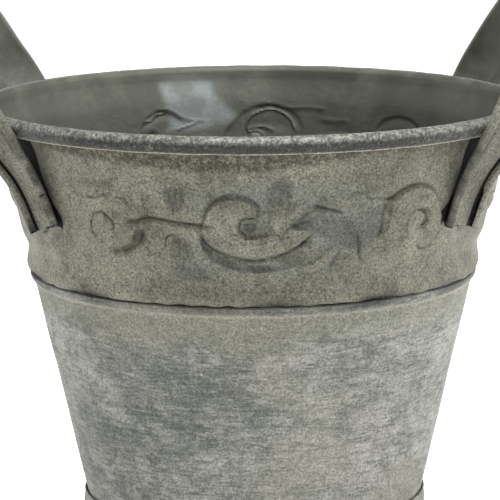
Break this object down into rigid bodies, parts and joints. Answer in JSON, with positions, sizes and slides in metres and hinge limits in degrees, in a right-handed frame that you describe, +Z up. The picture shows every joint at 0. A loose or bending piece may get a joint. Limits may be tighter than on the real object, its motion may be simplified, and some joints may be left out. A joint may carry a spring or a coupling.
{
  "type": "florist bucket",
  "caption": "Flared zinc florist bucket with an embossed scroll collar, wired rolled rim, swaged foot ring and leaning strap handles with rolled edges.",
  "frame": {"origin": "centre of the circle that the foot stands on, at the level of the surface under it", "axes": "+Z up along the bucket's axis; +X from the left handle to the right handle; -Y is the front of the bucket"},
  "size_m": [0.2692, 0.2, 0.24],
  "materials": {
    "warm_zinc": "aged matte zinc, warm grey",
    "cool_zinc": "aged matte zinc, neutral grey",
    "dark_zinc": "dull oxidised zinc",
    "solder": "dull tin-lead solder",
    "edge_wire": "plain drawn wire"
  },
  "bodies": {
    "root": {"frieze_collar": "warm_zinc", "rim_wire": "edge_wire", "lower_body": "cool_zinc", "foot_ring": "cool_zinc", "base_plate": "dark_zinc", "base_solder": "solder", "collar_joint_solder": "solder", "collar_seam_solder": "solder", "body_seam_solder": "solder", "left_handle": "warm_zinc", "right_handle": "warm_zinc", "left_front_handle_solder": "solder", "left_rear_handle_solder": "solder", "right_front_handle_solder": "solder", "right_rear_handle_solder": "solder"}
  },
  "joints": []
}
